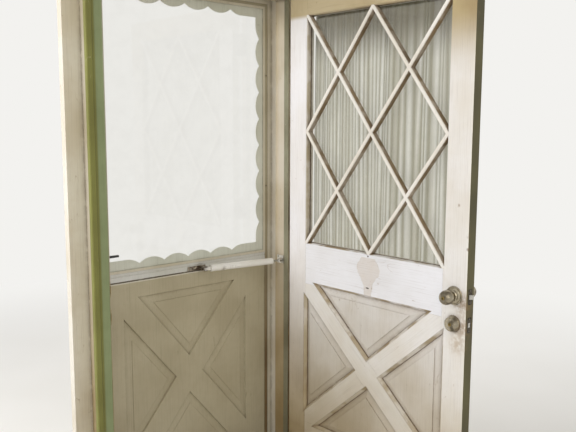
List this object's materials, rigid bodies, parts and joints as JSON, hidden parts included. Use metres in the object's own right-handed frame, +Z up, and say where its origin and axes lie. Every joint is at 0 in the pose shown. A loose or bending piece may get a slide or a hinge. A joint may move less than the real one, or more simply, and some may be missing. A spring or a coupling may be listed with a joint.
{
  "type": "entrance door set",
  "caption": "Cross-buck entry door with a diamond lattice window, standing open in its frame, with a scalloped aluminium storm door, locks and a closer.",
  "frame": {"origin": "under the sill, midway between the jambs, in the plane of the jambs' room side edges", "axes": "+X to the right seen from the room, +Y outwards, +Z up"},
  "size_m": [1.124, 1.1925, 2.18],
  "materials": {
    "jamb_paint": "brushed gloss paint, yellowed",
    "stop_paint": "brushed gloss paint, yellowed",
    "green_paint": "satin wall green paint",
    "trim_paint": "weathered tan paint",
    "sill_wood": "worn grey-brown paint",
    "threshold_metal": "mill finish, worn",
    "door_paint": "brushed off-white gloss paint",
    "door_glass": "clear float glass",
    "storm_glass_slot": "clear float glass",
    "storm_white": "baked white enamel, chalky",
    "storm_panel_paint": "baked white enamel, chalky",
    "seal_vinyl": "matt vinyl",
    "strip_metal": "dull anodised",
    "old_brass": "dull, aged",
    "lock_nickel": "satin nickel plate, worn to brass",
    "bolt_steel": "bright worn steel",
    "plate_dark": "tarnished",
    "curtain_cloth": "sheer gathered voile",
    "rod_white": "white enamel",
    "black_plastic": "black, satin",
    "closer_white": "white enamel",
    "rod_steel": "bright steel, oily"
  },
  "bodies": {
    "door_frame": {"hinge_jamb": "jamb_paint", "strike_jamb": "jamb_paint", "head_jamb": "jamb_paint", "sill": "sill_wood", "threshold": "threshold_metal", "door_stops": "stop_paint", "inside_casings": "green_paint", "outside_casings": "trim_paint", "weatherstrips": "strip_metal", "strike_plates": "old_brass", "jamb_hinge_leaves": "old_brass", "hinge_pins": "old_brass", "storm_bars": "storm_white", "closer_jamb_bracket": "closer_white"},
    "entry_door": {"hinge_stile": "door_paint", "lock_stile": "door_paint", "top_rail": "door_paint", "lock_rail": "door_paint", "bottom_rail": "door_paint", "long_brace": "door_paint", "upper_brace": "door_paint", "lower_brace": "door_paint", "panel_top": "door_paint", "panel_bottom": "door_paint", "panel_hinge_side": "door_paint", "panel_lock_side": "door_paint", "lattice_bars": "door_paint", "glass_pane": "door_glass", "glazing_beads": "door_paint", "door_hinge_leaves": "old_brass", "knob_roses": "lock_nickel", "latch_case": "plate_dark", "deadbolt_case": "plate_dark", "deadbolt_collars": "lock_nickel", "curtain": "curtain_cloth", "curtain_rods": "rod_white"},
    "outside_knob_body": {"outside_knob": "lock_nickel"},
    "key_plug_body": {"knob_key_plug": "old_brass"},
    "inside_knob_body": {"inside_knob": "lock_nickel"},
    "latch_bolt_body": {"latch_bolt": "bolt_steel"},
    "thumb_turn_body": {"thumb_turn": "lock_nickel"},
    "deadbolt_body": {"deadbolt": "bolt_steel"},
    "deadbolt_plug_body": {"deadbolt_plug": "old_brass"},
    "storm_door_body": {"storm_hinge_stile": "storm_white", "storm_latch_stile": "storm_white", "storm_top_rail": "storm_white", "storm_middle_rail": "storm_white", "storm_lower_panel": "storm_panel_paint", "storm_window_frame": "storm_white", "storm_glass": "storm_glass_slot", "window_scallops": "storm_white", "storm_sweep": "seal_vinyl", "storm_hinge_leaves": "storm_white", "storm_latch_set": "black_plastic", "closer_door_bracket": "closer_white"},
    "storm_lever_body": {"storm_lever": "black_plastic"},
    "storm_latch_body": {"storm_latch_bolt": "bolt_steel"},
    "storm_button_body": {"storm_button": "black_plastic"},
    "closer_tube_body": {"closer_tube": "closer_white"},
    "closer_rod_body": {"closer_rod": "rod_steel"}
  },
  "joints": [
    {"name": "entry_door_hinge", "type": "hinge", "parent": "door_frame", "child": "entry_door", "pos_m": [0.4585, -0.007, 1.1365], "axis": [0, 0, 1], "range_deg": [-90, 60]},
    {"name": "outside_knob_turn", "type": "hinge", "parent": "entry_door", "child": "outside_knob_body", "pos_m": [0.42925, -0.8717, 0.9475], "axis": [1, 0, 0], "range_deg": [0, 60]},
    {"name": "inside_knob_turn", "type": "hinge", "parent": "entry_door", "child": "inside_knob_body", "pos_m": [0.42925, -0.8717, 0.9475], "axis": [1, 0, 0], "range_deg": [0, 60]},
    {"name": "latch_bolt_slide", "type": "slide", "parent": "entry_door", "child": "latch_bolt_body", "axis": [0, 1, 0], "range_m": [0, 0.011]},
    {"name": "knob_key_turn", "type": "hinge", "parent": "outside_knob_body", "child": "key_plug_body", "pos_m": [0.42925, -0.8717, 0.9475], "axis": [1, 0, 0], "range_deg": [0, 90]},
    {"name": "thumb_turn_hinge", "type": "hinge", "parent": "entry_door", "child": "thumb_turn_body", "pos_m": [0.42925, -0.8717, 0.8459], "axis": [1, 0, 0], "range_deg": [0, 90]},
    {"name": "deadbolt_key_turn", "type": "hinge", "parent": "entry_door", "child": "deadbolt_plug_body", "pos_m": [0.42925, -0.8717, 0.8459], "axis": [1, 0, 0], "range_deg": [0, 90]},
    {"name": "deadbolt_slide", "type": "slide", "parent": "entry_door", "child": "deadbolt_body", "axis": [0, -1, 0], "range_m": [0, 0.0254]},
    {"name": "storm_door_hinge", "type": "hinge", "parent": "door_frame", "child": "storm_door_body", "pos_m": [0.4595, 0.217, 1.07], "axis": [0, 0, -1], "range_deg": [0, 80]},
    {"name": "storm_lever_turn", "type": "hinge", "parent": "storm_door_body", "child": "storm_lever_body", "pos_m": [-0.437, 0.15, 1.036], "axis": [0, 1, 0], "range_deg": [0, 25]},
    {"name": "storm_latch_slide", "type": "slide", "parent": "storm_door_body", "child": "storm_latch_body", "axis": [1, 0, 0], "range_m": [0, 0.0095]},
    {"name": "storm_button_press", "type": "slide", "parent": "storm_door_body", "child": "storm_button_body", "axis": [0, -1, 0], "range_m": [0, 0.005], "stiffness_N_per_m": 400},
    {"name": "closer_tube_pivot", "type": "hinge", "parent": "storm_door_body", "child": "closer_tube_body", "pos_m": [0.06, 0.14, 0.933], "axis": [0, 0, 1], "range_deg": [0, 11.35]},
    {"name": "closer_rod_slide", "type": "slide", "parent": "closer_tube_body", "child": "closer_rod_body", "axis": [0.9867, -0.1626, 0], "range_m": [0, 0.1598]}
  ],
  "couplings": [
    {"joint": "inside_knob_turn", "follows": "outside_knob_turn", "ratio": 1},
    {"joint": "latch_bolt_slide", "follows": "outside_knob_turn", "m_per_rad": 0.010504},
    {"joint": "deadbolt_key_turn", "follows": "thumb_turn_hinge", "ratio": 1},
    {"joint": "deadbolt_slide", "follows": "thumb_turn_hinge", "m_per_rad": 0.01617},
    {"joint": "storm_latch_slide", "follows": "storm_lever_turn", "m_per_rad": 0.021772},
    {"joint": "closer_tube_pivot", "follows": "storm_door_hinge", "ratio": 0.14173},
    {"joint": "closer_rod_slide", "follows": "storm_door_hinge", "m_per_rad": 0.11435}
  ]
}
